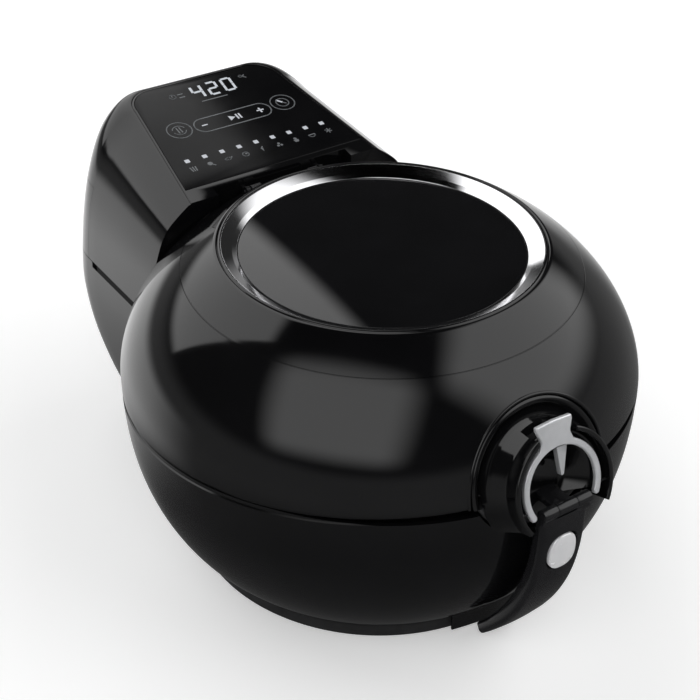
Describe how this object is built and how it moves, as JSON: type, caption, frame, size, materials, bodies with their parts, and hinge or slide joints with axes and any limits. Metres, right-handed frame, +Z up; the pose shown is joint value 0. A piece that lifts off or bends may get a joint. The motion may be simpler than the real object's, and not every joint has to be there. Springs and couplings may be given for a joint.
{
  "type": "deep fryer",
  "caption": "Round countertop air fryer with a hinged domed lid, smoked window, stirring paddle in a lift-out pan, folding front handle and a rear control tower.",
  "frame": {"origin": "on the table under the middle of the whole machine", "axes": "+X to the machine's right, +Y towards the control tower, +Z up; the pan handle folds down over the front at -Y"},
  "size_m": [0.364, 0.4823, 0.2579],
  "materials": {
    "gloss_black": "high gloss, piano black",
    "matte_black": "matte",
    "inner_black": "satin",
    "chrome": "bright chrome plate",
    "satin_silver": "satin silver plating",
    "smoked_glass": "dark smoked, polished",
    "panel_glass": "polished touch panel with light grey marks",
    "rubber": "matte",
    "silicone": "soft matte grey",
    "pan_coating": "dark non-stick coating",
    "steel": "plain",
    "board_green": "printed board",
    "gear_white": "natural nylon"
  },
  "bodies": {
    "base": {"base_shell": "gloss_black", "tower_cover": "gloss_black", "rear_cover": "gloss_black", "front_chin": "gloss_black", "foot_band": "matte_black", "base_plate": "matte_black", "base_hub_dish": "inner_black", "pan_well": "inner_black", "air_grille": "inner_black", "gear_tray": "inner_black", "display_module": "inner_black", "control_panel": "panel_glass", "foot_pad_1": "rubber", "foot_pad_2": "rubber", "foot_pad_3": "rubber", "rear_foot_1": "rubber", "rear_foot_2": "rubber", "cord_gland": "rubber", "pan": "pan_coating", "gearmotor": "steel", "hinge_pin": "steel", "hinge_bracket_left": "steel", "hinge_bracket_right": "steel", "pan_bracket": "steel", "handle_pin": "steel", "fan_housing": "steel", "fan_motor": "steel", "heater_loop": "steel", "rear_screw_1": "steel", "rear_screw_2": "steel", "rear_screw_3": "steel", "rear_screw_4": "steel", "control_board": "board_green", "power_board": "board_green", "shaft_bush": "gear_white", "lamp_bar": "gear_white"},
    "lid": {"lid_shell": "gloss_black", "chrome_ring": "chrome", "lid_window": "smoked_glass", "window_gasket": "silicone", "lid_frame": "inner_black", "lid_seal": "silicone", "lid_hub_dish": "inner_black", "latch_hood": "gloss_black", "latch_pin_left": "steel", "latch_pin_right": "steel"},
    "latch": {"lid_latch": "satin_silver"},
    "handle": {"pan_handle": "gloss_black", "button_spring": "steel"},
    "handle_button": {"handle_button": "satin_silver"},
    "drive": {"drive_gear": "gear_white", "drive_shaft": "steel", "paddle": "matte_black"},
    "pinion": {"motor_pinion": "steel"},
    "fan": {"fan_impeller": "steel", "fan_shaft": "steel"}
  },
  "joints": [
    {"name": "lid_hinge", "type": "hinge", "parent": "base", "child": "lid", "pos_m": [0, 0.0918, 0.2272], "axis": [-1, 0, 0], "range_deg": [0, 72]},
    {"name": "latch_tilt", "type": "hinge", "parent": "lid", "child": "latch", "pos_m": [0, -0.23181, 0.15281], "axis": [1, 0, 0], "range_deg": [0, 12], "stiffness_Nm_per_rad": 0.3, "springref_deg": -6.88},
    {"name": "handle_fold", "type": "hinge", "parent": "base", "child": "handle", "pos_m": [0, -0.2342, 0.1477], "axis": [-1, 0, 0], "range_deg": [0, 120]},
    {"name": "button_press", "type": "slide", "parent": "handle", "child": "handle_button", "axis": [0, 1, 0], "range_m": [0, 0.0025], "stiffness_N_per_m": 300, "springref_m": -0.001, "deforming": ["button_spring"]},
    {"name": "paddle_spin", "type": "hinge", "parent": "base", "child": "drive", "pos_m": [0, -0.0335, 0.05], "axis": [0, 0, 1], "continuous": true},
    {"name": "pinion_spin", "type": "hinge", "parent": "base", "child": "pinion", "pos_m": [0.02435, -0.0335, 0.0245], "axis": [0, 0, 1], "continuous": true},
    {"name": "fan_spin", "type": "hinge", "parent": "base", "child": "fan", "pos_m": [0, 0.15, 0.096], "axis": [0, 0, 1], "continuous": true}
  ],
  "couplings": [
    {"joint": "pinion_spin", "follows": "paddle_spin", "ratio": -3}
  ]
}
